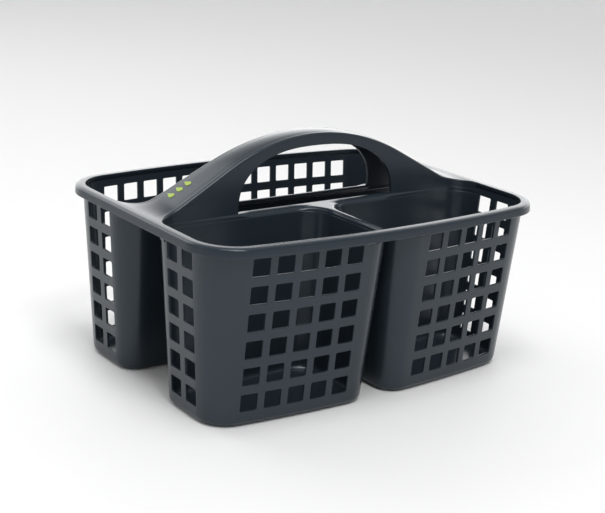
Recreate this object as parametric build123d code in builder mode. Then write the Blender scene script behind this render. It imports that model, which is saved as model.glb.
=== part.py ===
"""Shower caddy: three open cups in one rim, with a fixed arch handle over the gap between them.

X runs along the long side, Y from the two front cups to the rear cup, and Z is up. The origin is
the middle of the base. The real caddy is one moulding. Here each of its members is a solid of its
own, and neighbouring members meet face to face.
"""

import math
import os

from build123d import *

# Walls. The outside grows with height, because every wall leans outwards.
base_half_length = 134.0  # end walls, at the base
base_half_width = 98.4  # long walls, at the base and at X = 0
end_draft = 0.068  # how far an end wall leans out for each millimetre of height
side_draft = 0.076  # the same for a long wall
bow_radius = 925.0  # the long walls bulge outwards on this radius
wall = 1.8
floor_thickness = 2.2
heel_radius = 5.0  # rounding where the walls turn into the floor

# Gaps between the cups, open from below.
channel_half_base = 24.7  # half the long gap under the handle
channel_half_top = 16.3
gap_half_base = 8.5  # half the short gap between the two front cups
gap_half_top = 1.5

# Corner radii of the cups, at the base and at the top.
outer_corner = (23.0, 30.0)
gap_corner = (16.0, 20.0)
channel_corner = (15.0, 21.0)
middle_corner = (19.0, 23.0)  # where the channel meets the gap between the front cups

# Levels.
deck_bottom = 121.0
deck_top = 123.2
skirt_bottom = 122.5
rim_underside = 126.8
rim_top = 129.0

# Rim.
skirt_reach = 6.0  # how far the foot of the skirt stands out from the wall
brow_reach = 5.2  # the same at the top of the rim
skirt_thickness = 2.0
brow_radius = 2.1  # rounding along the rim's outer top edge

# Windows of the grilles.
window = 12.5
window_radius = 0.9
window_rows = [17.5 + 19.2 * row for row in range(6)]
long_side_pitch = 18.0
short_side_pitch = 18.7
short_side_centre = 55.0  # middle of each pair of columns, from the centre line

# Handle.
handle_top = 175.0
arch_radius = 165.0  # top of the handle, seen from the front
leg_angle = 28.0  # slope of its legs, in degrees
leg_end = 118.0  # where a leg ends and the flared root starts
band = 2.4  # thickness of the handle's top
web = 2.0  # thickness of its sides
web_foot = 18.0  # half width of the handle at the deck
web_lean = 0.14  # how far a side leans in for each millimetre of height
band_edge_radius = 1.6
hand_half_width = 70.0
hand_height = 42.5
hand_roundness = 2.6  # exponent of the opening's outline: 2 is an ellipse, more is squarer
ledge_edge = 11.5  # the deck stops here, half the slot between the ledges

# Where the members are parted.
long_panel_end = 115.5
short_panel_front = 72.3
short_panel_back = 38.5
gap_panel_end = 24.0
deck_front = -98.0  # the ridge between the front cups turns up into the rim past here
root_half_width = 31.0  # each flared root of the handle, from the centre line
upstand_half_width = 14.0  # where the ridge meets the rim

# Printed mark on the left leg: a row of drops.
mark_middle = (-107.0, 3.0)  # seen from above
drop_pitch = 7.6
drop_radius = 2.3
drop_tip = 5.2  # from the middle of a drop's round end
ink = 0.3

tall = 400.0  # any size that passes right through
cutter_top = 136.0  # cutters shaped like the cups reach above the roots of the handle

# Inner walls stop at the underside of the deck, inside this box.
deck_space = ((-leg_end, deck_front, deck_bottom), (leg_end, short_panel_back, cutter_top))


def half_length(level):
    """Half the length of the body at a height."""
    return base_half_length + end_draft * level


def half_width(level):
    """Half the width of the body at a height, on the centre line."""
    return base_half_width + side_draft * level


def long_wall(level, x, inset):
    """Distance of a long wall's face from the centre line, at a height and a place along it."""
    curve = bow_radius - math.sqrt((bow_radius - inset) ** 2 - x * x)
    return half_width(level) - curve


def between(base, top, level):
    """Value at a height, from one at the base and one at the deck."""
    return base + (top - base) * level / deck_top


def rounded_face(level, sides, corners, inset):
    """Face at a height from its drawn sides, with each corner point rounded by its own radius."""
    with BuildSketch(Plane.XY.offset(level)) as plan:
        with BuildLine():
            sides()
        make_face()
        for point, (base, top) in corners:
            corner = plan.vertices().sort_by_distance((point[0], point[1], 0))[0]
            fillet(corner, between(base, top, level) - inset)
    return plan.sketch


def body_face(level, inset):
    """Plan of the whole body: straight ends, bowed long sides and round corners."""
    end = half_length(level) - inset
    middle, side = long_wall(level, 0, inset), long_wall(level, end, inset)

    def sides():
        ThreePointArc((-end, -side), (0, -middle), (end, -side))
        Line((end, -side), (end, side))
        ThreePointArc((end, side), (0, middle), (-end, side))
        Line((-end, side), (-end, -side))

    corners = [((x, y), outer_corner) for x in (-end, end) for y in (-side, side)]
    return rounded_face(level, sides, corners, inset)


def front_cup_face(level, inset):
    """Plan of the front left cup, between the end wall, the channel and the middle gap."""
    end = -(half_length(level) - inset)
    inner = -(between(gap_half_base, gap_half_top, level) + inset)
    back = -(between(channel_half_base, channel_half_top, level) + inset)
    middle = (end + inner) / 2
    front = {x: -long_wall(level, x, inset) for x in (end, middle, inner)}

    def sides():
        ThreePointArc((end, front[end]), (middle, front[middle]), (inner, front[inner]))
        Polyline((inner, front[inner]), (inner, back), (end, back), (end, front[end]))

    corners = [
        ((end, front[end]), outer_corner),
        ((inner, front[inner]), gap_corner),
        ((inner, back), middle_corner),
        ((end, back), channel_corner),
    ]
    return rounded_face(level, sides, corners, inset)


def rear_cup_face(level, inset):
    """Plan of the rear cup, which runs the whole length."""
    end = half_length(level) - inset
    near = between(channel_half_base, channel_half_top, level) + inset
    far, side = long_wall(level, 0, inset), long_wall(level, end, inset)

    def sides():
        ThreePointArc((end, side), (0, far), (-end, side))
        Polyline((-end, side), (-end, near), (end, near), (end, side))

    corners = [((x, side), outer_corner) for x in (-end, end)]
    corners += [((x, near), channel_corner) for x in (-end, end)]
    return rounded_face(level, sides, corners, inset)


def block(face, low, high, low_inset=0.0, high_inset=0.0):
    """Solid between a plan at one height and the same plan at another."""
    with BuildPart() as solid:
        loft([face(low, low_inset), face(high, high_inset)], ruled=True)
    return solid.part


def cup_shell(face):
    """Walls and floor of one cup, up to the underside of the rim and the deck."""
    with BuildPart() as shell:
        add(block(face, 0, rim_underside))
        fillet(shell.edges().group_by(Axis.Z)[0], heel_radius)
        add(block(face, floor_thickness, rim_underside, wall, wall), mode=Mode.SUBTRACT)
        box_between(*deck_space, mode=Mode.SUBTRACT)
    return shell.part


def windows(places, plane):
    """Square windows with slightly rounded corners, cut outwards from a plane inside the cup."""
    with BuildPart() as cutters:
        with BuildSketch(plane):
            with Locations(*places):
                RectangleRounded(window, window, window_radius)
        extrude(amount=tall / 2)
    return cutters.part


def box_between(low, high, mode=Mode.ADD):
    """Box given by its lowest and highest corners."""
    with Locations(tuple((l + h) / 2 for l, h in zip(low, high))):
        Box(*[h - l for l, h in zip(low, high)], mode=mode)


def inside(solid, low, high):
    """The part of a solid inside a box."""
    with BuildPart() as piece:
        add(solid)
        box_between(low, high, mode=Mode.INTERSECT)
    return piece.part


def outside(solid, boxes):
    """What is left of a solid outside some boxes."""
    with BuildPart() as piece:
        add(solid)
        for low, high in boxes:
            box_between(low, high, mode=Mode.SUBTRACT)
    return piece.part


def mirrored(solid, plane):
    """The same solid on the other side of a plane."""
    with BuildPart() as other:
        add(solid)
        mirror(about=plane, mode=Mode.REPLACE)
    return other.part


members = {}

# Front cups. The right one mirrors the left one.
window_front = Plane.XZ.offset(short_side_centre)
window_left = Plane(origin=(-gap_panel_end, 0, 0), x_dir=(0, -1, 0), z_dir=(-1, 0, 0))
front_columns = [-long_side_pitch * count for count in range(2, 7)]
short_columns = [short_side_centre + short_side_pitch * side for side in (-0.5, 0.5)]
with BuildPart() as front_cup:
    add(cup_shell(front_cup_face))
    front_places = [(x, z) for x in front_columns for z in window_rows]
    add(windows(front_places, window_front), mode=Mode.SUBTRACT)
    end_places = [(y, z) for y in short_columns for z in window_rows]
    add(windows(end_places, window_left), mode=Mode.SUBTRACT)

sill = floor_thickness
floor_box = ((-tall, -tall, 0), (tall, tall, sill))
grille_box = ((-long_panel_end, -tall, sill), (-gap_panel_end, -short_panel_back, tall))
corner_box = ((-tall, -tall, sill), (-long_panel_end, -short_panel_front, tall))
end_box = ((-tall, -short_panel_front, sill), (-long_panel_end, -short_panel_back, tall))
front_members = {
    "floor": inside(front_cup.part, *floor_box),
    "front_grille": inside(front_cup.part, *grille_box),
    "end_grille": inside(front_cup.part, *end_box),
    "outer_corner": inside(front_cup.part, *corner_box),
    "inner_wall": outside(front_cup.part, [floor_box, grille_box, corner_box, end_box]),
}
for name, solid in front_members.items():
    members["front_left_cup_" + name] = solid
    members["front_right_cup_" + name] = mirrored(solid, Plane.YZ)

# Rear cup. Its right half mirrors its left half, so only the left end is cut out of it.
window_rear = Plane(origin=(0, short_side_centre, 0), x_dir=(-1, 0, 0), z_dir=(0, 1, 0))
window_right = Plane(origin=(gap_panel_end, 0, 0), x_dir=(0, 1, 0), z_dir=(1, 0, 0))
rear_columns = [long_side_pitch * count for count in range(-6, 7)]
with BuildPart() as rear_cup:
    add(cup_shell(rear_cup_face))
    rear_places = [(x, z) for x in rear_columns for z in window_rows]
    add(windows(rear_places, window_rear), mode=Mode.SUBTRACT)
    rear_end_places = [(-y, z) for y, z in end_places]
    add(windows(rear_end_places, window_left), mode=Mode.SUBTRACT)
    add(windows(end_places, window_right), mode=Mode.SUBTRACT)

rear_grille_box = ((-long_panel_end, short_panel_back, sill), (long_panel_end, tall, tall))
channel_box = ((-tall, 0, sill), (tall, short_panel_back, tall))
rear_corner_box = ((-tall, short_panel_front, sill), (-long_panel_end, tall, tall))
rear_end_box = ((-tall, short_panel_back, sill), (-long_panel_end, short_panel_front, tall))
members["rear_cup_floor"] = inside(rear_cup.part, *floor_box)
members["rear_cup_rear_grille"] = inside(rear_cup.part, *rear_grille_box)
members["rear_cup_inner_wall"] = inside(rear_cup.part, *channel_box)
for name, box in (("end_grille", rear_end_box), ("outer_corner", rear_corner_box)):
    solid = inside(rear_cup.part, *box)
    members["rear_cup_left_" + name] = solid
    members["rear_cup_right_" + name] = mirrored(solid, Plane.YZ)

# Rim: a rounded brow with a skirt that hangs outside the walls.
with BuildPart() as rim:
    add(block(body_face, skirt_bottom, rim_top, -skirt_reach, -brow_reach))
    fillet(rim.edges().group_by(Axis.Z)[-1], brow_radius)
    hollow = skirt_thickness - skirt_reach
    add(block(body_face, skirt_bottom, rim_underside, hollow, hollow), mode=Mode.SUBTRACT)
    add(block(body_face, skirt_bottom, rim_top, wall, wall), mode=Mode.SUBTRACT)

front_rail_box = ((-long_panel_end, -tall, 0), (long_panel_end, 0, tall))
left_rail_box = ((-tall, -tall, 0), (-long_panel_end, tall, tall))
members["rim_front_rail"] = inside(rim.part, *front_rail_box)
members["rim_rear_rail"] = mirrored(members["rim_front_rail"], Plane.XZ)
members["rim_left_end"] = inside(rim.part, *left_rail_box)
members["rim_right_end"] = mirrored(members["rim_left_end"], Plane.YZ)

# Solids that stand for the cups, outside and inside, as cutters.
front_outer = block(front_cup_face, 0, cutter_top)
front_inner = block(front_cup_face, floor_thickness, cutter_top, wall, wall)
rear_outer = block(rear_cup_face, 0, cutter_top)
rear_inner = block(rear_cup_face, floor_thickness, cutter_top, wall, wall)
cup_outers = [front_outer, mirrored(front_outer, Plane.YZ), rear_outer]
cup_inners = [front_inner, mirrored(front_inner, Plane.YZ), rear_inner]

# Deck: a ledge on each side of the slot under the handle. The front one has the ridge between the
# front cups, which turns up into the rim.
with BuildPart() as decks:
    box_between((-leg_end, deck_front, deck_bottom), (leg_end, short_panel_back, deck_top))
    Box(tall, 2 * ledge_edge, tall, mode=Mode.SUBTRACT)
    for cup in cup_inners:
        add(cup, mode=Mode.SUBTRACT)
with BuildPart() as upstand:
    add(block(body_face, deck_bottom, rim_underside))
    above_deck = block(body_face, deck_top, cutter_top, 2 * wall, 2 * wall)
    add(above_deck, mode=Mode.SUBTRACT)
    front_gap = ((-upstand_half_width, -tall, 0), (upstand_half_width, deck_front, tall))
    box_between(*front_gap, mode=Mode.INTERSECT)
    for cup in cup_outers:
        add(cup, mode=Mode.SUBTRACT)
with BuildPart() as front_deck:
    add(inside(decks.part, (-tall, -tall, 0), (tall, 0, tall)))
    add(upstand.part)
members["front_deck"] = front_deck.part
members["rear_ledge"] = inside(decks.part, (-tall, 0, 0), (tall, short_panel_back, tall))

# Handle. Seen from the front, an arch on each side runs into a straight leg, and a hollow curve
# brings the leg down to the rim.
angle = math.radians(leg_angle)
arch_centre = handle_top - arch_radius
leg_start_x = arch_radius * math.sin(angle)
leg_start_z = arch_centre + arch_radius * math.cos(angle)
leg_end_z = leg_start_z - (leg_end - leg_start_x) * math.tan(angle)
root_radius = (leg_end_z - rim_top) / (1 - math.cos(angle))
root_x = leg_end + root_radius * math.sin(angle)
root_z = rim_top + root_radius


def on_arch(turn, depth):
    """Point on the arch, a depth below its surface, at an angle from the top."""
    radius = arch_radius - depth
    return radius * math.sin(turn), arch_centre + radius * math.cos(turn)


def on_root(turn, depth):
    """Point on the hollow curve of the root, a depth below its surface."""
    radius = root_radius + depth
    return root_x - radius * math.sin(turn), root_z - radius * math.cos(turn)


def handle_side(depth):
    """Everything under the handle's side profile, taken in by a depth, down to the deck."""
    top = on_arch(0, depth)
    flat_end = (tall / 2, rim_top - depth)
    with BuildPart() as solid:
        with BuildSketch(Plane.XZ):
            with BuildLine():
                Line((0, deck_top), top)
                ThreePointArc(top, on_arch(angle / 2, depth), on_arch(angle, depth))
                Line(on_arch(angle, depth), on_root(angle, depth))
                ThreePointArc(on_root(angle, depth), on_root(angle / 2, depth), on_root(0, depth))
                Polyline(on_root(0, depth), flat_end, (tall / 2, deck_top), (0, deck_top))
            make_face()
            mirror(about=Plane.YZ)
        extrude(amount=tall / 4, both=True)
    return solid.part


def handle_section(inset):
    """The straight part of the handle, end to end: sides that lean in towards the top."""
    foot = web_foot - inset
    head = foot - web_lean * (handle_top - deck_top)
    with BuildPart() as solid:
        with BuildSketch(Plane.YZ.offset(-leg_end)):
            lower, upper = [(-foot, deck_top), (foot, deck_top)], [(head, handle_top), (-head, handle_top)]
            Polygon(*lower, *upper, align=None)
        extrude(amount=2 * leg_end)
    return solid.part


def on_opening(turn):
    """Point on the outline of the hand opening: an ellipse with squarer shoulders."""
    across = abs(math.cos(turn)) ** (2 / hand_roundness)
    up = abs(math.sin(turn)) ** (2 / hand_roundness)
    return math.copysign(hand_half_width * across, math.cos(turn)), deck_top + hand_height * up


with BuildPart() as hand_opening:
    with BuildSketch(Plane.XZ):
        with BuildLine():
            outline = [on_opening(math.pi * step / 24) for step in range(25)]
            Spline(*outline, tangents=[(0, 1), (0, -1)])
            Line(outline[-1], outline[0])
        make_face()
    extrude(amount=tall / 4, both=True)

with BuildPart() as handle_band:
    add(handle_section(0))
    add(handle_side(0), mode=Mode.INTERSECT)
    long_edges = handle_band.edges().filter_by_position(Axis.Z, leg_end_z + 1, handle_top + 1)
    fillet([edge for edge in long_edges if edge.length > window], band_edge_radius)
    add(handle_side(band), mode=Mode.SUBTRACT)
members["handle_band"] = handle_band.part

with BuildPart() as webs:
    add(handle_section(0))
    add(handle_section(web), mode=Mode.SUBTRACT)
    add(handle_side(band), mode=Mode.INTERSECT)
    add(hand_opening.part, mode=Mode.SUBTRACT)
members["handle_front_web"] = inside(webs.part, (-tall, -tall, 0), (tall, 0, tall))
members["handle_rear_web"] = mirrored(members["handle_front_web"], Plane.XZ)

# Roots of the handle: the band widens between the cups' corners, and a strip closes the end of the
# body under it.
with BuildPart() as roots:
    add(handle_side(0))
    add(block(body_face, rim_underside, cutter_top, wall, wall), mode=Mode.INTERSECT)
    Box(tall, 2 * root_half_width, tall, mode=Mode.INTERSECT)
    for cup in cup_inners:
        add(cup, mode=Mode.SUBTRACT)
with BuildPart() as under_roots:
    add(handle_side(band))
    box_between((-tall, -tall, rim_underside), (tall, tall, tall), mode=Mode.INTERSECT)
    for cup in cup_outers:
        add(cup, mode=Mode.SUBTRACT)
with BuildPart() as end_strips:
    add(block(body_face, deck_bottom, rim_underside))
    add(block(body_face, deck_bottom, rim_underside, 2 * wall, 2 * wall), mode=Mode.SUBTRACT)
    Box(tall, 2 * root_half_width, tall, mode=Mode.INTERSECT)
    for cup in cup_outers:
        add(cup, mode=Mode.SUBTRACT)
with BuildPart() as handle_root:
    add(roots.part)
    add(under_roots.part, mode=Mode.SUBTRACT)
    add(end_strips.part)
    box_between((-tall, -tall, 0), (-leg_end, tall, tall), mode=Mode.INTERSECT)
members["handle_left_root"] = handle_root.part
members["handle_right_root"] = mirrored(handle_root.part, Plane.YZ)

# Printed mark: drops in a row along the left leg, each a circle with a point drawn out of it.
mark_height = leg_start_z - (-mark_middle[0] - leg_start_x) * math.tan(angle)
up_the_leg, out_of_the_leg = (math.cos(angle), 0, math.sin(angle)), (-math.sin(angle), 0, math.cos(angle))
leg_face = Plane((*mark_middle, mark_height), x_dir=up_the_leg, z_dir=out_of_the_leg)
touch = math.acos(drop_radius / drop_tip)  # where the point's sides touch the circle
touch_x, touch_y = drop_radius * math.sin(touch), drop_radius * math.cos(touch)
with BuildPart() as printed_mark:
    with BuildSketch(leg_face):
        with GridLocations(drop_pitch, 0, 3, 1):
            Circle(drop_radius)
            Polygon((0, drop_tip), (-touch_x, touch_y), (touch_x, touch_y), align=None)
    extrude(amount=ink)
members["printed_mark"] = printed_mark.part

os.makedirs("parts", exist_ok=True)
for name, solid in members.items():
    solid.label = name
    export_step(solid, f"parts/{name}.step")
    print(f"{name}: {len(solid.solids())} solid, {solid.volume:.0f} cubic mm")
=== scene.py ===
import math

import bmesh
import bpy
import numpy as np
from mathutils import Matrix, Vector


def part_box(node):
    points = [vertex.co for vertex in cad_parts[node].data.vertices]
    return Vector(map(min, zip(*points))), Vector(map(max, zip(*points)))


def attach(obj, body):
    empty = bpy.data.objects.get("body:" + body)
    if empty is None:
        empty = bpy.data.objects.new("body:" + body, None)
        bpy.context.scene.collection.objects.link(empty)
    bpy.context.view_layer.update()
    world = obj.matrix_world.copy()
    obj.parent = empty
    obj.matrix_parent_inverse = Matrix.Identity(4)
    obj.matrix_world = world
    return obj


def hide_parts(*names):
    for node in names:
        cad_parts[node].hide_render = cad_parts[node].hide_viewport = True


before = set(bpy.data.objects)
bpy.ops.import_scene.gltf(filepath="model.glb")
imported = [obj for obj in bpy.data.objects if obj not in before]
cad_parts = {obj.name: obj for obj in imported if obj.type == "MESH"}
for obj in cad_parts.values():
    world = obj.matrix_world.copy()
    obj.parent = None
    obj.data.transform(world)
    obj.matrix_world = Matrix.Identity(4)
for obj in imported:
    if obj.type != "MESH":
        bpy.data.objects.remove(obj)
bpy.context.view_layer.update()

# Levels and reaches of the moulding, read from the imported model, in metres.
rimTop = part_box("rim_front_rail")[1].z
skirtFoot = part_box("rim_front_rail")[0].z
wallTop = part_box("rear_cup_rear_grille")[1].z
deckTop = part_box("rear_ledge")[1].z
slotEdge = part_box("rear_ledge")[0].y  # half the slot between the two ledges
endAtWallTop = -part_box("rear_cup_left_end_grille")[0].x
sideAtSkirt = -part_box("rim_front_rail")[0].y
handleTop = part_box("handle_band")[1].z
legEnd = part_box("handle_band")[1].x
webFoot = -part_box("handle_front_web")[0].y

# What shapes every wall. Pairs of radii and gaps are at the base and at the deck.
body = {
    "endDraft": 0.068,  # how far an end wall leans out per metre of height
    "sideDraft": 0.076,  # the same for a long wall
    "bowRadius": 0.925,  # the long walls bulge on this radius
    "skirtReach": 0.006,
    "wall": 0.0018,
    "heel": 0.005,  # rounding between the walls and the floor
    "outerCorner": (0.023, 0.030),
    "gapCorner": (0.016, 0.020),
    "channelCorner": (0.015, 0.021),
    "middleCorner": (0.019, 0.023),
    "gap": (0.0085, 0.0015),  # half the gap between the front cups
    "channel": (0.0247, 0.0163),  # half the gap under the handle
}


# Straight mix of two values by height, from the base to the deck.
def between(pair, level):
    return pair[0] + (pair[1] - pair[0]) * level / deckTop


# Half length and half width at a height: the value at a known height, less the lean below it.
def halfLength(level):
    return endAtWallTop - body["endDraft"] * (wallTop - level)


def halfWidth(level):
    return sideAtSkirt - body["skirtReach"] - body["sideDraft"] * (skirtFoot - level)


# Circle that touches the bowed long wall from inside, given its middle along X: the distance between
# the two middles is the difference of the two radii.
def circleOnBow(middleX, radius, level):
    bow = body["bowRadius"]
    return halfWidth(level) - bow + np.sqrt((bow - radius) ** 2 - middleX**2)


# Outer corner's circle, touching the end wall and the bow. Its radius grows with height.
def outerCircle(level):
    radius = between(body["outerCorner"], level)
    middleX = halfLength(level) - radius
    return middleX, circleOnBow(middleX, radius, level), radius


# Circle of the corner at the gap between the front cups, touching the gap's side and the bow.
def gapCircle(level):
    radius = between(body["gapCorner"], level)
    middleX = between(body["gap"], level) + radius
    return middleX, circleOnBow(middleX, radius, level), radius


# Long wall's distance from the centre line at x: the bow, and past the point where a corner circle
# touches it, that circle. An inset moves the face inwards and keeps every middle.
def sideFace(x, level, inset, withGap):
    across = np.abs(x)
    bow = body["bowRadius"] - inset
    face = halfWidth(level) - body["bowRadius"] + np.sqrt(bow**2 - across**2)
    middleX, middleY, radius = outerCircle(level)
    touch = middleX / (body["bowRadius"] - radius) * bow
    arc = middleY + np.sqrt(np.maximum((radius - inset) ** 2 - (across - middleX) ** 2, 0))
    face = np.where(across > touch, arc, face)
    if withGap:
        middleX, middleY, radius = gapCircle(level)
        touch = middleX / (body["bowRadius"] - radius) * bow
        arc = middleY + np.sqrt(np.maximum((radius - inset) ** 2 - (across - middleX) ** 2, 0))
        face = np.where(across < touch, arc, face)
    return face


# End wall's distance from the middle at y: straight, with the outer corner's and the channel
# corner's circles at its two ends.
def endFace(y, level, inset):
    middleX, middleY, radius = outerCircle(level)
    arc = middleX + np.sqrt(np.maximum((radius - inset) ** 2 - (y - middleY) ** 2, 0))
    face = np.where(y > middleY, arc, halfLength(level) - inset)
    radius = between(body["channelCorner"], level)
    middleX = halfLength(level) - radius
    middleY = between(body["channel"], level) + radius
    arc = middleX + np.sqrt(np.maximum((radius - inset) ** 2 - (y - middleY) ** 2, 0))
    return np.where(y < middleY, arc, face)


# Mesh helpers.


# Faces of a grid of points, rows by columns, as quads between neighbours.
def gridFaces(rows, columns, start=0):
    corner = start + np.arange(rows - 1)[:, None] * columns + np.arange(columns - 1)[None, :]
    quads = np.stack([corner, corner + 1, corner + columns + 1, corner + columns], axis=-1)
    return quads.reshape(-1, 4)


# Object from points and quads: loose points are dropped, equal ones merged, faces turned outwards.
def makePiece(name, points, faces, weld=1e-5):
    used, faces = np.unique(faces, return_inverse=True)
    faces = faces.reshape(-1, 4)
    mesh = bpy.data.meshes.new(name)
    mesh.from_pydata(points[used].tolist(), [], faces.tolist())
    shape = bmesh.new()
    shape.from_mesh(mesh)
    bmesh.ops.remove_doubles(shape, verts=shape.verts, dist=weld)
    bmesh.ops.dissolve_degenerate(shape, edges=shape.edges, dist=weld / 2)
    bmesh.ops.recalc_face_normals(shape, faces=shape.faces)
    shape.to_mesh(mesh)
    shape.free()
    piece = bpy.data.objects.new(name, mesh)
    bpy.context.scene.collection.objects.link(piece)
    return piece


# Several grids of points in one piece.
def makeFromGrids(name, grids, weld=1e-5):
    points, faces, start = [], [], 0
    for grid in grids:
        rows, columns = grid.shape[:2]
        points.append(grid.reshape(-1, 3))
        faces.append(gridFaces(rows, columns, start))
        start += rows * columns
    return makePiece(name, np.concatenate(points), np.concatenate(faces), weld)


# Gives a sheet its thickness inwards, rounds its edges, and keeps the result as the mesh.
def finishPiece(piece, material, thickness=0.0, edge=0.0, crease=40, segments=2, nodes=()):
    if thickness:
        shell = piece.modifiers.new("wall", "SOLIDIFY")
        shell.thickness = thickness
        shell.offset = -1
        shell.use_even_offset = True
    if edge:
        rounding = piece.modifiers.new("edge", "BEVEL")
        rounding.width = edge
        rounding.segments = segments
        rounding.limit_method = "ANGLE"
        rounding.angle_limit = math.radians(crease)
        rounding.use_clamp_overlap = True
    weighting = piece.modifiers.new("shading", "WEIGHTED_NORMAL")
    weighting.keep_sharp = True
    piece.data.shade_smooth()
    graph = bpy.context.evaluated_depsgraph_get()
    mesh = bpy.data.meshes.new_from_object(piece.evaluated_get(graph))
    piece.modifiers.clear()
    piece.data = mesh
    mesh.materials.clear()
    mesh.materials.append(material)
    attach(piece, "root")
    if nodes:
        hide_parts(*nodes)
    print(f"{piece.name}: {len(mesh.polygons)} faces")
    return piece


# Materials.

plastic = {
    "dark": (0.0170, 0.0245, 0.0330, 1),
    "light": (0.0210, 0.0295, 0.0385, 1),
    "cloudSize": 9.0,
    "roughness": (0.20, 0.27),
    "grainSize": 2600.0,
    "grainHeight": 0.000012,  # depth of the mould's grain
    "specular": 0.5,
    "glossTint": (0.78, 0.86, 0.93, 1),
}

ink = {
    "dark": (0.29, 0.42, 0.02, 1),
    "light": (0.35, 0.50, 0.03, 1),
    "cloudSize": 300.0,
    "roughness": (0.32, 0.42),
    "grainSize": 3000.0,
    "grainHeight": 0.000006,
    "specular": 0.5,
    "glossTint": (1, 1, 1, 1),
}


# Node group shared by both finishes: slow clouds mix two near colours and move the roughness a
# little, and a fine noise is the grain of the mould as a height.
def makeMouldedGroup():
    group = bpy.data.node_groups.new("mouldedSurface", "ShaderNodeTree")
    face = group.interface
    for name in ("Dark", "Light"):
        face.new_socket(name, in_out="INPUT", socket_type="NodeSocketColor")
    for name in ("Cloud Size", "Grain Size", "Smooth", "Rough", "Grain Height"):
        face.new_socket(name, in_out="INPUT", socket_type="NodeSocketFloat")
    face.new_socket("Colour", in_out="OUTPUT", socket_type="NodeSocketColor")
    face.new_socket("Roughness", in_out="OUTPUT", socket_type="NodeSocketFloat")
    face.new_socket("Normal", in_out="OUTPUT", socket_type="NodeSocketVector")
    nodes, links = group.nodes, group.links
    source, result = nodes.new("NodeGroupInput"), nodes.new("NodeGroupOutput")
    place = nodes.new("ShaderNodeTexCoord")

    clouds = nodes.new("ShaderNodeTexNoise")
    clouds.inputs["Detail"].default_value = 3
    links.new(place.outputs["Object"], clouds.inputs["Vector"])
    links.new(source.outputs["Cloud Size"], clouds.inputs["Scale"])
    colour = nodes.new("ShaderNodeMix")
    colour.data_type = "RGBA"
    links.new(clouds.outputs["Fac"], colour.inputs[0])
    links.new(source.outputs["Dark"], colour.inputs[6])
    links.new(source.outputs["Light"], colour.inputs[7])
    links.new(colour.outputs[2], result.inputs["Colour"])

    rubbed = nodes.new("ShaderNodeMapRange")
    rubbed.inputs["From Min"].default_value = 0.35
    rubbed.inputs["From Max"].default_value = 0.65
    links.new(clouds.outputs["Fac"], rubbed.inputs["Value"])
    links.new(source.outputs["Smooth"], rubbed.inputs["To Min"])
    links.new(source.outputs["Rough"], rubbed.inputs["To Max"])
    links.new(rubbed.outputs["Result"], result.inputs["Roughness"])

    grain = nodes.new("ShaderNodeTexNoise")
    grain.inputs["Detail"].default_value = 2
    links.new(place.outputs["Object"], grain.inputs["Vector"])
    links.new(source.outputs["Grain Size"], grain.inputs["Scale"])
    bump = nodes.new("ShaderNodeBump")
    links.new(grain.outputs["Fac"], bump.inputs["Height"])
    links.new(source.outputs["Grain Height"], bump.inputs["Distance"])
    links.new(bump.outputs["Normal"], result.inputs["Normal"])
    return group


mouldedGroup = makeMouldedGroup()


# A finish: the shared group with its own values, feeding one Principled shader.
def makeFinish(name, values):
    material = bpy.data.materials.new(name)
    material.use_nodes = True
    nodes, links = material.node_tree.nodes, material.node_tree.links
    shader = nodes["Principled BSDF"]
    surface = nodes.new("ShaderNodeGroup")
    surface.node_tree = mouldedGroup
    for socket, value in (
        ("Dark", values["dark"]), ("Light", values["light"]),
        ("Cloud Size", values["cloudSize"]), ("Grain Size", values["grainSize"]),
        ("Smooth", values["roughness"][0]), ("Rough", values["roughness"][1]),
        ("Grain Height", values["grainHeight"]),
    ):
        surface.inputs[socket].default_value = value
    for output, socket in (("Colour", "Base Color"), ("Roughness", "Roughness"), ("Normal", "Normal")):
        links.new(surface.outputs[output], shader.inputs[socket])
    shader.inputs["Specular IOR Level"].default_value = values["specular"]
    shader.inputs["Specular Tint"].default_value = values["glossTint"]
    return material


moulding = makeFinish("mouldedPlastic", plastic)
printInk = makeFinish("printInk", ink)
print("materials made")

# Cups.

cup = {
    "longPitch": 0.018,  # from window to window along a long wall
    "shortPitch": 0.0187,
    "rowPitch": 0.0192,
    "firstRow": 0.0175,  # height of the lowest windows' middles
    "rows": 6,
    "frontColumns": range(2, 7),  # windows along X, counted in pitches from the middle
    "rearColumns": range(-6, 7),
    "shortMiddle": 0.055,  # Y of the middle of an end wall's two columns
    "window": 0.0125,
    "windowRadius": 0.0009,
    "collar": 0.0007,  # ring of mesh that keeps the wall flat round a window
    "sides": 6,  # mesh steps along each side of a window's cell
    "edge": 0.00035,
    "heelSteps": 6,
    "cornerSteps": 12,
    "innerCornerSteps": 14,
    "frontSpanSteps": 16,  # a front cup's straight wall along the channel
    "rearSpanSteps": 60,  # the same for the rear cup
    "gapSpanSteps": 8,
    "intoRim": 0.0008,  # how far the walls run up inside the rim
    "floorRings": (0.75, 0.5, 0.25, 0.0),
}
longCell, shortCell = cup["longPitch"] / 2, cup["shortPitch"] / 2
longStart = cup["frontColumns"][0] * cup["longPitch"] - longCell  # inner end of a front cup's grille
longEnd = cup["frontColumns"][-1] * cup["longPitch"] + longCell
shortEnd = cup["shortMiddle"] + cup["shortPitch"]
shortStart = cup["shortMiddle"] - cup["shortPitch"]


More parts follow.
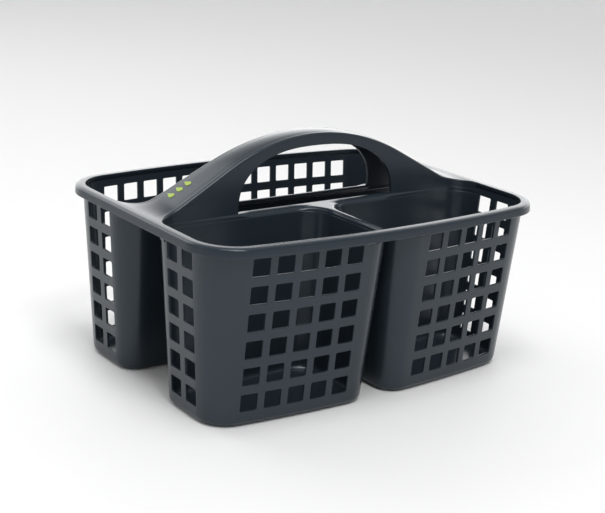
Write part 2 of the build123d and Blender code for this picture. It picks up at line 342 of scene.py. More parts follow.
# Rows of a cup: levels with their insets, from the floor's edge round the heel and up the wall.
def cupRows():
    turn = np.linspace(0, math.pi / 2, cup["heelSteps"] + 1)
    heelLevels, heelInsets = body["heel"] * (1 - np.cos(turn)), body["heel"] * (1 - np.sin(turn))
    low = cup["firstRow"] - cup["rowPitch"] / 2
    high = low + cup["rows"] * cup["rowPitch"]
    windowLevels = np.linspace(low, high, cup["rows"] * cup["sides"] + 1)
    top = wallTop + cup["intoRim"]
    levels = np.concatenate([heelLevels, windowLevels, [(high + top) / 2, top]])
    insets = np.concatenate([heelInsets, np.zeros(len(levels) - len(heelInsets))])
    return levels[:, None], insets[:, None]


cupLevels, cupInsets = cupRows()
firstWindowRow = cup["heelSteps"] + 1
lastWindowRow = firstWindowRow + cup["rows"] * cup["sides"]


# Points on an arc at every row: its middle, its radius less the row's inset, and angles that may
# change with height, mixed evenly between the two ends.
def arcRun(middleX, middleY, radius, first, last, steps):
    share = np.linspace(0, 1, steps + 1)[None, :]
    angle = first + (last - first) * share
    reach = radius - cupInsets
    return middleX + reach * np.cos(angle), middleY + reach * np.sin(angle)


# The runs of a cup's outline in one quarter, each an array of x and y by row and place. They go
# along the long wall, round the outer corner, back along the end wall and round to the channel.
def longRun(first, last, steps, withGap):
    x = np.linspace(first, last, steps + 1)[None, :] + 0 * cupLevels
    return x, sideFace(x, cupLevels, cupInsets, withGap)


# Outer corner, from the angle where the long wall's grille ends to where the end wall's starts.
def outerRun():
    middleX, middleY, radius = outerCircle(cupLevels)
    reach = radius - cupInsets
    first = np.arccos(np.clip((longEnd - middleX) / reach, -1, 1))
    last = np.arcsin(np.clip((shortEnd - middleY) / reach, -1, 1))
    return arcRun(middleX, middleY, radius, first, last, cup["cornerSteps"])


def endRun():
    y = np.linspace(shortEnd, shortStart, 2 * cup["sides"] + 1)[None, :] + 0 * cupLevels
    return endFace(y, cupLevels, cupInsets), y


def channelCornerRun():
    radius = between(body["channelCorner"], cupLevels)
    middleX = halfLength(cupLevels) - radius
    middleY = between(body["channel"], cupLevels) + radius
    first = np.arcsin(np.clip((shortStart - middleY) / (radius - cupInsets), -1, 1))
    return arcRun(middleX, middleY, radius, first, -math.pi / 2, cup["cornerSteps"])


# Straight mix of the points where one run stops and another starts.
def straightRun(before, after, steps):
    (startX, startY), (endX, endY) = endOf(before), startOf(after)
    share = np.linspace(0, 1, steps + 1)[None, :]
    return startX + (endX - startX) * share, startY + (endY - startY) * share


def middleCornerRun():
    radius = between(body["middleCorner"], cupLevels)
    middleX = between(body["gap"], cupLevels) + radius
    middleY = between(body["channel"], cupLevels) + radius
    return arcRun(middleX, middleY, radius, -math.pi / 2, -math.pi, cup["innerCornerSteps"])


def gapCornerRun():
    middleX, middleY, radius = gapCircle(cupLevels)
    last = np.arccos(np.clip((longStart - middleX) / (radius - cupInsets), -1, 1))
    return arcRun(middleX, middleY, radius, math.pi, last, cup["innerCornerSteps"])


# Points at an end of a run, where a straight run starts or stops.
def endOf(run):
    return run[0][:, -1:], run[1][:, -1:]


def startOf(run):
    return run[0][:, :1], run[1][:, :1]


# A run of the right side, mirrored to the left and walked the other way.
def backwards(run):
    return -run[0][:, ::-1], run[1][:, ::-1]


# Outline of a rounded square, corner by corner from the lower left, as offsets from its middle:
# two steps of arc, two of straight and two of arc on each side.
def roundedSquare(half, radius):
    turn = np.radians([225, 247.5, 270])
    arc = np.stack([radius * np.cos(turn) - (half - radius), radius * np.sin(turn) - (half - radius)], 1)
    back = arc[::-1] * np.array([-1, 1])
    side = np.concatenate([arc, [[0, -half]], back])[:-1]
    quarter = np.array([[0, 1], [-1, 0]])
    return np.concatenate([side @ np.linalg.matrix_power(quarter, n) for n in range(4)])


# Wall of one cup: a lattice of runs by rows, where each window's cell is swapped for two rounded
# rings around the opening. A grille is its run, its windows' places along it, the direction in which
# the run goes, and the function that puts a window on the wall. The floor is rings of its edge,
# scaled towards the middle.
def cupPoints(runs, cells):
    starts = np.cumsum([0] + [run[0].shape[1] - 1 for run in runs])
    x = np.concatenate([run[0][:, :-1] for run in runs], 1)
    y = np.concatenate([run[1][:, :-1] for run in runs], 1)
    rows, columns = x.shape
    z = cupLevels + 0 * x
    lattice = np.stack([x, y, z], -1).reshape(-1, 3)
    place = np.arange(rows)[:, None] * columns + (np.arange(columns + 1) % columns)[None, :]
    corner = np.stack([place[:-1, :-1], place[:-1, 1:], place[1:, 1:], place[1:, :-1]], -1)
    keep = np.ones(corner.shape[:2], bool)
    keep[lastWindowRow - 1:, starts[cells["innerFrom"]]:starts[cells["innerTo"]]] = False
    points, faces, count = [lattice], [], len(lattice)
    n = cup["sides"]
    rowStarts = firstWindowRow + n * np.arange(cup["rows"])
    walk = np.concatenate([
        np.stack([np.zeros(n), np.arange(n)], 1), np.stack([np.arange(n), np.full(n, n)], 1),
        np.stack([np.full(n, n), n - np.arange(n)], 1), np.stack([n - np.arange(n), np.zeros(n)], 1),
    ]).astype(int)
    half = cup["window"] / 2
    rings = [roundedSquare(half + grow, cup["windowRadius"] + grow) for grow in (cup["collar"], 0)]
    for run, middles, alongRun, onWall in cells["grilles"]:
        for number, middle in enumerate(middles):
            column = starts[run] + n * number
            for row, level in zip(rowStarts, cup["firstRow"] + cup["rowPitch"] * np.arange(cup["rows"])):
                keep[row:row + n, column:column + n] = False
                outer = place[row + walk[:, 0], column + walk[:, 1]]
                for ring in rings:
                    points.append(onWall(middle + alongRun * ring[:, 0], level + ring[:, 1]))
                    inner = count + np.arange(4 * n)
                    count += 4 * n
                    faces.append(np.stack([outer, np.roll(outer, -1), np.roll(inner, -1), inner], 1))
                    outer = inner
    faces.append(corner[keep])
    edge = lattice[:columns]
    middle = np.array([edge[:, 0].mean(), (edge[:, 1].max() + edge[:, 1].min()) / 2, 0])
    rim = np.arange(columns)
    for share in cup["floorRings"]:
        points.append(middle + (edge - middle) * share)
        inner = count + np.arange(columns)
        count += columns
        faces.append(np.stack([rim, np.roll(rim, -1), np.roll(inner, -1), inner], 1))
        rim = inner
    return np.concatenate(points), np.concatenate(faces)


# Places on the walls from a distance along them and a height, for the windows.
def onLongWall(withGap):
    return lambda x, level: np.stack([x, sideFace(x, level, 0, withGap), level], -1)


def onEndWall(side):
    return lambda y, level: np.stack([side * endFace(y, level, 0), y, level], -1)


shortMiddles = [cup["shortMiddle"] + shortCell, cup["shortMiddle"] - shortCell]


# A front cup, worked out in the right rear quarter and put in its place by the signs of X and Y.
def makeFrontCup(name, side):
    columns = cup["frontColumns"]
    corner, middle, gapEnd = channelCornerRun(), middleCornerRun(), gapCornerRun()
    runs = [
        longRun(longStart, longEnd, len(columns) * cup["sides"], True), outerRun(), endRun(), corner,
        straightRun(corner, middle, cup["frontSpanSteps"]), middle,
        straightRun(middle, gapEnd, cup["gapSpanSteps"]), gapEnd,
    ]
    cells = {
        "innerFrom": 3, "innerTo": 8,  # the runs that end under the deck
        "grilles": [
            (0, [cup["longPitch"] * n for n in columns], 1, onLongWall(True)),
            (2, shortMiddles, -1, onEndWall(1)),
        ],
    }
    points, faces = cupPoints(runs, cells)
    piece = makePiece(name + "_cup", points * np.array([side, -1, 1]), faces)
    parts = ("floor", "front_grille", "end_grille", "outer_corner", "inner_wall")
    nodes = [f"{name}_cup_{part}" for part in parts]
    return finishPiece(piece, moulding, body["wall"], cup["edge"], nodes=nodes)


# The rear cup: its right half's runs, then the same runs mirrored.
def makeRearCup():
    columns = cup["rearColumns"]
    right = [outerRun(), endRun(), channelCornerRun()]
    left = [backwards(run) for run in reversed(right)]
    across = straightRun(right[-1], left[0], cup["rearSpanSteps"])
    long = longRun(-longEnd, longEnd, len(columns) * cup["sides"], False)
    runs = [long] + right + [across] + left
    cells = {
        "innerFrom": 3, "innerTo": 6,
        "grilles": [
            (0, [cup["longPitch"] * n for n in columns], 1, onLongWall(False)),
            (2, shortMiddles, -1, onEndWall(1)),
            (6, shortMiddles[::-1], 1, onEndWall(-1)),
        ],
    }
    points, faces = cupPoints(runs, cells)
    piece = makePiece("rear_cup", points, faces)
    parts = ("floor", "rear_grille", "inner_wall", "left_end_grille", "right_end_grille")
    nodes = [f"rear_cup_{part}" for part in parts + ("left_outer_corner", "right_outer_corner")]
    return finishPiece(piece, moulding, body["wall"], cup["edge"], nodes=nodes)


makeFrontCup("front_left", -1)
makeFrontCup("front_right", 1)
makeRearCup()
print("cups made")

# Rim.

rim = {
    "inner": 0.00192,  # inset of its inner face, just proud of the walls' inner face
    "brow": 0.0052,  # how far its top stands outside the wall
    "trim": 0.00005,  # taken off the skirt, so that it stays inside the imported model's box
    "browRadius": 0.0021,
    "innerRadius": 0.0004,
    "slope": 0.00035,  # how much the top falls towards the outside
    "skirt": 0.002,
    "footRadius": 0.0005,
    "overlap": 0.0014,  # how far the section runs down over the walls' top
    "clear": 0.0003,  # gap between the section and the wall's outer face
    "underRadius": 0.0006,  # hollow corner under the rim
    "slump": 0.0008,  # how much lower than halfway the skirt's bend is
    "endSteps": 10,
    "cornerSteps": 18,
    "bowSteps": 36,
}


# Closed outline of the body at each height and inset given: a quarter of end wall, corner and bow,
# mirrored twice.
def bodyLoop(level, inset):
    level, inset = np.asarray(level)[:, None], np.asarray(inset)[:, None]
    middleX, middleY, radius = outerCircle(level)
    share = np.linspace(0, 1, rim["endSteps"])[None, :-1]
    end = (halfLength(level) - inset + 0 * share, middleY * share)
    turn = np.arctan2(middleY - halfWidth(level) + body["bowRadius"], middleX)
    angle = turn * np.linspace(0, 1, rim["cornerSteps"])[None, :-1]
    corner = (middleX + (radius - inset) * np.cos(angle), middleY + (radius - inset) * np.sin(angle))
    bowRadius = body["bowRadius"]
    touch = middleX / (bowRadius - radius) * (bowRadius - inset)  # where the arc meets the bow
    x = touch * np.linspace(1, 0, rim["bowSteps"])[None, :]
    bow = (x, halfWidth(level) - bowRadius + np.sqrt((bowRadius - inset) ** 2 - x**2))
    x, y = (np.concatenate([run[n] for run in (end, corner, bow)], 1) for n in (0, 1))
    x, y = np.concatenate([x, -x[:, -2::-1]], 1), np.concatenate([y, y[:, -2::-1]], 1)
    return np.concatenate([x, x[:, -2:0:-1]], 1), np.concatenate([y, -y[:, -2:0:-1]], 1)


# Quarter circle in a section, from one angle to another, as insets and levels. Angle 0 points
# outwards, away from the middle of the caddy, and 90 degrees points up.
def sectionArc(inset, level, radius, first, last, steps=5):
    turn = np.radians(np.linspace(first, last, steps))
    return np.stack([inset - radius * np.cos(turn), level + radius * np.sin(turn)], 1)


# Section of the rim, all round: inner face, top, rolled brow, skirt, and back up inside the skirt.
def rimSection():
    face, brow, foot, thin = rim["inner"], rim["brow"], rim["footRadius"], rim["skirt"]
    innerRadius, browRadius, under = rim["innerRadius"], rim["browRadius"], rim["underRadius"]
    reach = body["skirtReach"] - rim["trim"]
    topOut = rimTop - rim["slope"]
    top = np.stack([np.linspace(face - innerRadius, browRadius - brow, 7)[1:-1]] * 2, 1)
    share = (face - top[:, 0]) / (face + brow)
    top[:, 1] = rimTop - rim["slope"] * share**2
    return np.concatenate([
        [[face, wallTop - rim["overlap"]]],
        sectionArc(face - innerRadius, rimTop - innerRadius, innerRadius, 180, 90, 4),
        top,
        sectionArc(browRadius - brow, topOut - browRadius, browRadius, 90, 8, 7),
        [[-0.5 * (brow + reach), 0.5 * (topOut + skirtFoot) - rim["slump"]]],
        sectionArc(foot - reach, skirtFoot + foot, foot, 0, -90, 4),
        sectionArc(thin - foot - reach, skirtFoot + foot, foot, -90, -180, 4),
        sectionArc(thin + under - reach, wallTop - under, -under, 0, -90, 3),
        [[-rim["clear"], wallTop], [-rim["clear"], wallTop - rim["overlap"]]],
    ])


section = rimSection()
x, y = bodyLoop(section[:, 1], section[:, 0])
x, y = np.concatenate([x, x[:, :1]], 1), np.concatenate([y, y[:, :1]], 1)
grid = np.stack([x, y, section[:, 1][:, None] + 0 * x], -1)
rimPiece = makeFromGrids("rim", [np.concatenate([grid, grid[:1]])])
rimNodes = ("rim_front_rail", "rim_rear_rail", "rim_left_end", "rim_right_end")
finishPiece(rimPiece, moulding, nodes=rimNodes)
print("rim made")

# Handle.

handle = {
    "archRadius": 0.165,
    "legAngle": math.radians(28),
    "webLean": 0.14,
    "wall": 0.0022,
    "edgeRadius": 0.0022,
    "rootEdge": 0.0006,  # the same where the root runs into the rim
    "crown": 0.0006,  # how much the top falls towards its edges
    "openingHalf": 0.070,
    "openingHeight": 0.0425,
    "openingRoundness": 2.45,  # 2 is an ellipse, more is squarer
    "openingRings": (0, 0.04, 0.1, 0.22, 0.4, 0.6, 0.8, 1.0),  # shares of the way to the grid's edge
    "panelEnd": 0.092,  # the web round the opening is gridded to here
    "riseSteps": 8,
    "archSteps": 44,
    "legSteps": 12,
    "turnSteps": 16,  # round the cup's inner corner
    "below": 0.0066,  # how far the skin runs down over the cups' walls
    "shoulder": 0.7,  # height of the shoulder at a web's foot, over its width
    "out": 0.00005,  # how far the shoulder's foot stands over the cup's wall
    "footBand": 0.0003,  # short upright band under a shoulder, which keeps its shading smooth
    "tuckIn": 0.0008,  # the skin's lower end is turned this far into the wall
    "tuckDown": 0.0004,
    "lip": 0.0005,
}
archMiddle = handleTop - handle["archRadius"]
legStartX = handle["archRadius"] * math.sin(handle["legAngle"])
legStartZ = archMiddle + handle["archRadius"] * math.cos(handle["legAngle"])
legSlope = math.tan(handle["legAngle"])
legEndZ = legStartZ - (legEnd - legStartX) * legSlope
rootRadius = (legEndZ - rimTop) / (1 - math.cos(handle["legAngle"]))
rootX = legEnd + rootRadius * math.sin(handle["legAngle"])
cornerRadius = body["channelCorner"][1] - body["wall"]
cornerX = halfLength(deckTop) - body["channelCorner"][1]  # middle of the cup's inner corner


# Height of the handle's top at x: arch, straight leg, hollow curve, then the rim's flat top.
def topLevel(x):
    across = np.abs(x)
    arch = archMiddle + np.sqrt(np.maximum(handle["archRadius"] ** 2 - across**2, 0))
    leg = legStartZ - (across - legStartX) * legSlope
    root = rimTop + rootRadius - np.sqrt(np.maximum(rootRadius**2 - (rootX - across) ** 2, 0))
    level = np.where(across > legStartX, leg, arch)
    level = np.where(across > legEnd, root, level)
    return np.where(across > rootX, rimTop, level)


# Foot of a web, and the direction away from the cup there: straight, then round the corner's circle.
def footAt(x, turn):
    footX = np.where(turn > 0, cornerX + cornerRadius * np.sin(turn), x)
    footY = webFoot + cornerRadius * (1 - np.cos(turn))
    return footX, footY, np.sin(turn), -np.cos(turn)


# Lean of the web, easing to the end wall's own lean round the corner by the squares of cosine and
# sine.
def leanAt(turn):
    return handle["webLean"] * np.cos(turn) ** 2 + body["endDraft"] * np.sin(turn) ** 2


# Radius between web and band, easing to the root's by the sine.
def edgeAt(turn):
    share = np.sin(turn)
    return handle["edgeRadius"] + (handle["rootEdge"] - handle["edgeRadius"]) * share


# Height of the web's top edge over the deck, where the rounding to the band starts.
def webHead(x, turn):
    guess = topLevel(x) - deckTop
    footX, _, outX, _ = footAt(x, turn)
    edge = footX + outX * leanAt(turn) * guess
    return topLevel(edge) - deckTop - edgeAt(turn)


# Distance from the cup's wall back to the web's face: the lean times the middle of this height and
# the web's whole height, so the webs come closer together where the handle is high.
def webBack(x, turn, height):
    footX = footAt(x, turn)[0]
    return leanAt(turn) * (webHead(footX, turn) + height) / 2


# Point at a distance back from the cup's wall and a height over the deck.
def webPoint(x, turn, height, back=None):
    footX, footY, outX, outY = footAt(x, turn)
    away = webBack(x, turn, height) if back is None else back
    return np.stack([footX + outX * away, footY + outY * away, deckTop + height + 0 * away], -1)


# Web round the hand opening: rings from the opening, a squared ellipse, to a frame of two sides and
# the web's top edge.
def openingPanel():
    end, rise = handle["panelEnd"], handle["riseSteps"]
    top = np.linspace(end, -end, handle["archSteps"] + 1)
    sideHeights = np.linspace(0, webHead(end, 0.0), rise + 1)
    outerX = np.concatenate([np.full(rise, end), top, np.full(rise, -end)])
    outerHeight = np.concatenate([sideHeights[:-1], webHead(top, 0 * top), sideHeights[-2::-1]])
    turn = np.linspace(0, math.pi, len(outerX))
    power = 2 / handle["openingRoundness"]
    cosine, sine = np.cos(turn), np.maximum(np.sin(turn), 0)
    innerX = handle["openingHalf"] * np.sign(cosine) * np.abs(cosine) ** power
    innerHeight = handle["openingHeight"] * sine**power
    share = np.array(handle["openingRings"])[:, None]
    x = innerX + (outerX - innerX) * share
    return top, webPoint(x, 0 * x, innerHeight + (outerHeight - innerHeight) * share)


# Shoulder under a web: a quarter ellipse from the web's foot out to the cup's wall, then straight
# down over the wall and a little into it.
def shoulderGrid(x, turn):
    roll = np.linspace(math.pi / 2, 0, 12)[:, None]
    back = webBack(x, turn, 0)
    width = back + handle["out"]
    away = back - width * np.sin(roll)
    height = -handle["shoulder"] * width * (1 - np.cos(roll))
    level = 0 * back
    endAway = np.stack([level + handle["tuckIn"], level - handle["out"], level - handle["out"]])
    endHeight = np.stack([
        level - handle["below"] - handle["tuckDown"], level - handle["below"],
        height[0] - handle["footBand"],
    ])
    away, height = np.concatenate([endAway, away]), np.concatenate([endHeight, height])
    return webPoint(x + 0 * away, turn + 0 * away, height, away)


# Band: the quarter round from each web's top edge, then half of the top, which falls towards its
# edge with the square of the share of the way there.
def bandHalf(x, turn):
    side, across = np.sign(x), np.abs(x)
    reach = np.where(turn > 0, cornerX + cornerRadius * np.sin(turn), across)
    foot = webPoint(across, turn, webHead(reach, turn))
    edge = edgeAt(turn)
    roll = np.linspace(0, math.pi / 2, 6)[:, None]
    crown = handle["crown"] * np.cos(turn) ** 2
    edgeX = foot[:, 0] + np.sin(turn) * edge * (1 - np.cos(roll))
    edgeY = foot[:, 1] - np.cos(turn) * edge * (1 - np.cos(roll))
    edgeZ = foot[:, 2] + (edge - crown) * np.sin(roll)
    share = np.linspace(1, 0, 10)[1:, None]
    flatX = edgeX[-1] + 0 * share
    flatY = edgeY[-1] * share
    flatZ = topLevel(flatX) - crown * share**2
    step = edgeZ[-1] - flatZ[0] + crown * (share[0] ** 2 - 1)
    flatZ = flatZ + step * share**6
    x, y = np.concatenate([edgeX, flatX]) * side, np.concatenate([edgeY, flatY])
    return np.stack([x, y, np.concatenate([edgeZ, flatZ])], -1)


# Half of the handle's skin, on one side of its centre line: the web round the hand opening, the web
# out to the end of the root with the shoulder under it, both mirrored, and half of the band.
def handleHalf():
    top, panel = openingPanel()
    end, out, bend = handle["panelEnd"], handle["legSteps"], handle["turnSteps"] + 1
    turns = np.concatenate([np.zeros(out), np.linspace(0, math.pi / 2, bend)])
    places = np.concatenate([np.linspace(end, cornerX, out + 1)[:-1], np.full(bend, cornerX)])
    heads = webHead(np.where(turns > 0, cornerX + cornerRadius * np.sin(turns), places), turns)
    share = np.linspace(0, 1, handle["riseSteps"] + 1)[:, None]
    leg = webPoint(places + 0 * share, turns + 0 * share, heads * share)
    rings = np.array(handle["openingRings"])[:-1]
    aside = handle["openingHalf"] + (end - handle["openingHalf"]) * rings
    low = shoulderGrid(np.concatenate([aside, places]), np.concatenate([0 * aside, turns]))
    bandX = np.concatenate([places[::-1], top[1:-1], -places])
    band = bandHalf(bandX, np.concatenate([turns[::-1], 0 * top[1:-1], turns]))
    flip = np.array([-1, 1, 1])
    return [panel, leg, leg * flip, low, low * flip, band]


half = handleHalf()
grids = half + [grid * np.array([1, -1, 1]) for grid in half]
handlePiece = makeFromGrids("handle", grids, 2e-5)
handleNodes = [f"handle_{part}" for part in ("band", "front_web", "rear_web", "left_root", "right_root")]
finishPiece(handlePiece, moulding, handle["wall"], handle["lip"], 55, 3, handleNodes)
print("handle made")

# Deck: two ledges along the slot, and the ridge between the front cups. Towards a cup its top falls
# away as a quarter of an ellipse.

deck = {
    "thick": 0.0022,
    "share": 0.7,  # height of the rounding over its width
    "slotRadius": 0.0006,
    "openingEnd": 0.0702,  # past here the webs' shoulders take the ledges' place
    "easeFrom": 0.058,  # from here on the rounding narrows towards the webs' shoulders
    "gapSwing": math.radians(80),  # how far the ridge follows the gap's corner into the rim
    "lap": 0.0005,  # how far the ridge's ends dip into the ledge
    "rise": 0.0057,  # how far the ridge rises to the rim
    "hair": 0.00003,  # keeps two level faces from lying in one plane
}
wallFace = body["channel"][1] + body["wall"] - handle["out"]  # just behind the cup's wall
ledgeWidth = wallFace - slotEdge - deck["slotRadius"]
skirtEnd = deckTop - handle["below"]


# Height of the deck at a distance from a cup's edge, by the ellipse's formula.
def deckLevel(distance, width):
    share = np.clip(distance / width, 0, 1)
    return deckTop - deck["share"] * width * (1 - np.sqrt(np.maximum(1 - (1 - share) ** 2, 0)))


# Ledge: its section carried along the slot, from the turned-in end up the skirt, over the rounding,
# round the slot's edge and back underneath. Towards the webs the rounding narrows to theirs.
def ledgeGrid():
    end, radius = deck["openingEnd"], deck["slotRadius"]
    places = np.linspace(-end, end, 81)
    ease = np.clip((np.abs(places) - deck["easeFrom"]) / (end - deck["easeFrom"]), 0, 1)
    ease = ease * ease * (3 - 2 * ease)
    width = ledgeWidth + (float(webBack(end, 0.0, 0.0)) - ledgeWidth) * ease
    share = (1 - np.cos(np.linspace(0, math.pi, 21)))[:, None] / 2
    topY = wallFace - ledgeWidth * share
    roll = np.radians(np.linspace(0, 90, 5))[1:]
    tucked = wallFace - handle["tuckIn"]
    y = np.concatenate([
        [tucked, wallFace, wallFace], topY[:, 0],
        slotEdge + radius * (1 - np.sin(roll)), [slotEdge, tucked],
    ])[:, None]
    level = 0 * width
    tuckedLevel = level + skirtEnd - handle["tuckDown"]
    top = deckLevel(wallFace - topY, width)
    lower = np.stack([tuckedLevel, level + skirtEnd, top[0] - handle["footBand"]])
    side = (deckTop - radius * (1 - np.cos(roll)))[:, None] + level
    under = np.stack([level + deckTop - deck["thick"], tuckedLevel])
    return np.stack([places + 0 * y, y + 0 * places, np.concatenate([lower, top, side, under])], -1)


ledge = ledgeGrid()
rearLedge = makeFromGrids("rear_ledge_strip", [ledge])
finishPiece(rearLedge, moulding, nodes=["rear_ledge"])
frontLedge = makeFromGrids("front_ledge_strip", [ledge * np.array([1, -1, 1])])
finishPiece(frontLedge, moulding)


# Right half of the ridge and of the wide place where it meets the ledge. The cup's edge goes along
# the ledge, round the cup's corner, along the gap and round the gap's corner. Rows go from it to the
# centre line, and heights come from the distance to it. The rounding narrows from the ledge's to
# half the ridge, and near the rim the height climbs with the square of the share of the way.
def ridgeHalf():
    wall, gap, channel = body["wall"] - handle["out"], body["gap"][1], body["channel"][1]
    middle = body["middleCorner"][1]
    middleX, middleY, inner = gap + middle, channel + middle, middle - wall
    gapX, gapY, gapRadius = gapCircle(deckTop)
    gapInner = gapRadius - wall
    start = np.linspace(slotEdge + deck["slotRadius"], middleY - inner, 8)[:-1]
    turn = np.linspace(0, math.pi / 2, 22)
    lead = np.linspace(middleY, gapY, 12)[1:-1]
    swing = np.linspace(0, deck["gapSwing"], 20)
    edgeX = np.concatenate([
        0 * start + middleX, middleX - inner * np.sin(turn), 0 * lead + gap + wall,
        gapX - gapInner * np.cos(swing),
    ])
    edgeY = np.concatenate([
        start, middleY - inner * np.cos(turn), lead, gapY + gapInner * np.sin(swing),
    ])
    share = ((1 + np.cos(np.linspace(0, math.pi, 19))) / 2)[:, None]
    x, y = edgeX * share, edgeY + 0 * share
    toMiddle = np.hypot(x - middleX, y - middleY) - inner
    toGap = np.hypot(x - gapX, y - gapY) - gapInner
    distance = np.where(y < middleY, toMiddle, np.where(y > gapY, toGap, gap + wall - x))
    swung = np.concatenate([
        0 * start, np.minimum(2 * turn / turn[-1], 1), 1 + 0 * lead, 1 + 0 * swing,
    ])
    width = ledgeWidth + (gap + wall - ledgeWidth) * swung * swung * (3 - 2 * swung)
    climb = np.clip((y - gapY) / (edgeY[-1] - gapY), 0, 1) ** 2
    level = deckLevel(distance, width)
    level = level + deck["hair"] + climb * (deck["rise"] + deckTop - level[-1:])
    skirt = np.where(swung > 0, skirtEnd, level[:1] - deck["lap"])
    level = np.concatenate([skirt, level[:1] - handle["footBand"], level])
    x, y = (np.concatenate([grid[:1], grid[:1], grid]) for grid in (x, y))
    return np.stack([x, y, level], -1)


ridge = ridgeHalf()
ridgePiece = makeFromGrids("front_ridge", [ridge * np.array([side, -1, 1]) for side in (1, -1)])
finishPiece(ridgePiece, moulding, nodes=["front_deck"])
print("deck made")


# Strips of the body's wall under the rim, where no cup stands behind it: at both ends of the
# channel and over the gap between the front cups.

strip = {
    "endHalf": 0.0355,
    "frontHalf": 0.0195,
    "levels": 5,
    "wall": body["wall"] - 0.0001,  # a hair thinner than the cups' walls, which it runs into
    "edge": 0.0004,
}


# Upright grid: places along the wall by heights from under the deck up into the rim.
def stripGrid(across, onWall):
    level = np.linspace(deckTop - deck["thick"], wallTop + cup["intoRim"], strip["levels"])
    level = level[:, None]
    across = across[None, :] + 0 * level
    return onWall(across, level + 0 * across)


def onEnd(y, level):
    return np.stack([halfLength(level), y, level], -1)


def onFront(x, level):
    return np.stack([x, -sideFace(x, level, 0, False), level], -1)


endStrip = stripGrid(np.linspace(-strip["endHalf"], strip["endHalf"], 25), onEnd)
frontStrip = stripGrid(np.linspace(-strip["frontHalf"], strip["frontHalf"], 17), onFront)
leftStrip = endStrip * np.array([-1, 1, 1])
for name, grid in (
    ("right_end_strip", endStrip), ("left_end_strip", leftStrip), ("front_strip", frontStrip),
):
    finishPiece(makeFromGrids(name, [grid]), moulding, strip["wall"], strip["edge"])

# Printed mark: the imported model's three drops, a hair above the leg, in their own finish.
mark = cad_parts["printed_mark"]
mark.data.materials.clear()
mark.data.materials.append(printInk)

# Camera, floor and light.

view = {
    "place": (-0.56575, -0.74063, 0.36577),
    "forward": (0.58038, 0.75894, -0.29526),
    "tilt": math.radians(3.47),
    "lens": 77.3,
    "sensor": 36.0,
}


# Camera's own axes: right is level and turned by the tilt about the line of sight.
def makeCamera():
    camera = bpy.data.objects.new("camera", bpy.data.cameras.new("camera"))
    bpy.context.scene.collection.objects.link(camera)
    forward = Vector(view["forward"]).normalized()
    level = forward.cross(Vector((0, 0, 1))).normalized()
    up = level.cross(forward)
    right = level * math.cos(view["tilt"]) + up * math.sin(view["tilt"])
    up = right.cross(forward)
    turned = Matrix((right, up, -forward)).transposed().to_4x4()
    turned.translation = Vector(view["place"])
    camera.matrix_world = turned
    camera.data.lens = view["lens"]
    camera.data.sensor_width = view["sensor"]
    camera.data.sensor_fit = "HORIZONTAL"
    camera.data.clip_start = 0.01
    camera.data.clip_end = 100
    bpy.context.scene.camera = camera


makeCamera()

studio = {
    "floorHalf": 9.0,
    "floorColour": (0.88, 0.88, 0.88, 1),
    "floorRoughness": 0.6,
    "floorSpecular": 0.2,
    "skyBack": 2.6,
    "skyFront": 0.44,
    "backBand": ((0.6, 0.8, 0.0), 0.1, 0.75),  # a direction, and where the band begins and is full
    "lowBand": ((0, 0, 1), 0.62, 0.22),
    "aim": (0, 0, 0.08),
    "boxes": {  # place, size and power
        "overhead": ((-0.15, -0.3, 1.7), (0.7, 0.6), 10),
        "back": ((-0.5, 1.5, 1.3), (1.2, 0.8), 6),
        "front": ((-0.25, -0.9, 1.4), (0.5, 0.35), 7),
        "left": ((-1.6, 0.25, 0.8), (0.4, 1.2), 1),
    },
}


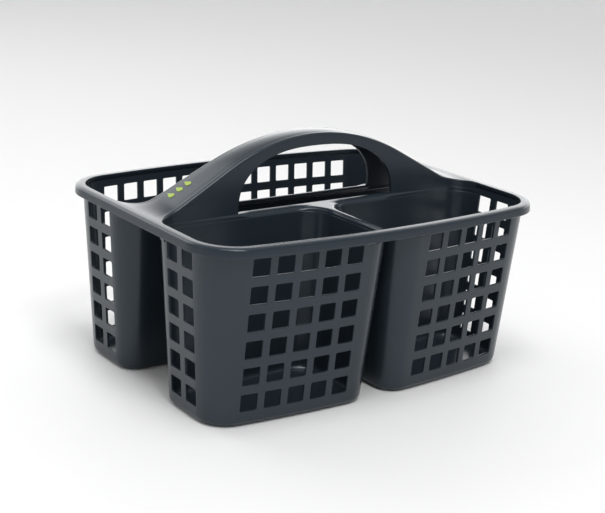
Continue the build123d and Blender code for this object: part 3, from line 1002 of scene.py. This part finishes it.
# Floor: one flat square, which isn't part of the caddy.
def makeFloor():
    size = studio["floorHalf"]
    corners = [(-size, -size, 0), (size, -size, 0), (size, size, 0), (-size, size, 0)]
    mesh = bpy.data.meshes.new("floor")
    mesh.from_pydata(corners, [], [(0, 1, 2, 3)])
    floor = bpy.data.objects.new("floor", mesh)
    bpy.context.scene.collection.objects.link(floor)
    material = bpy.data.materials.new("paleFloor")
    material.use_nodes = True
    shader = material.node_tree.nodes["Principled BSDF"]
    shader.inputs["Base Color"].default_value = studio["floorColour"]
    shader.inputs["Roughness"].default_value = studio["floorRoughness"]
    shader.inputs["Specular IOR Level"].default_value = studio["floorSpecular"]
    mesh.materials.append(material)


# Sky: an even dim white, with a bright band low down behind the caddy. The band is the product of
# how far a direction points to the back and how low it is.
def makeSky():
    world = bpy.data.worlds.new("studio")
    bpy.context.scene.world = world
    world.use_nodes = True
    nodes, links = world.node_tree.nodes, world.node_tree.links
    place = nodes.new("ShaderNodeTexCoord")
    bands = []
    for toward, dim, bright in (studio["backBand"], studio["lowBand"]):
        along = nodes.new("ShaderNodeVectorMath")
        along.operation = "DOT_PRODUCT"
        along.inputs[1].default_value = toward
        links.new(place.outputs["Generated"], along.inputs[0])
        band = nodes.new("ShaderNodeMapRange")
        band.interpolation_type = "SMOOTHSTEP"
        band.inputs["From Min"].default_value = dim
        band.inputs["From Max"].default_value = bright
        links.new(along.outputs["Value"], band.inputs["Value"])
        bands.append(band)
    product = nodes.new("ShaderNodeMath")
    product.operation = "MULTIPLY"
    for number, band in enumerate(bands):
        links.new(band.outputs["Result"], product.inputs[number])
    mix = nodes.new("ShaderNodeMapRange")
    mix.inputs["To Min"].default_value = studio["skyFront"]
    mix.inputs["To Max"].default_value = studio["skyBack"]
    links.new(product.outputs["Value"], mix.inputs["Value"])
    links.new(mix.outputs["Result"], nodes["Background"].inputs["Strength"])
    nodes["Background"].inputs["Color"].default_value = (1, 1, 1, 1)


# Soft box: a square of light at a place, facing the caddy.
def makeSoftBox(name, place, size, power):
    light = bpy.data.lights.new(name, "AREA")
    light.shape = "RECTANGLE"
    light.size, light.size_y = size
    light.energy = power
    lamp = bpy.data.objects.new(name, light)
    bpy.context.scene.collection.objects.link(lamp)
    lamp.location = place
    aim = Vector(studio["aim"]) - Vector(place)
    lamp.rotation_euler = aim.to_track_quat("-Z", "Y").to_euler()


makeFloor()
makeSky()
for name, (place, size, power) in studio["boxes"].items():
    makeSoftBox(name, place, size, power)
bpy.context.scene.view_settings.view_transform = "Standard"
print("stage made")
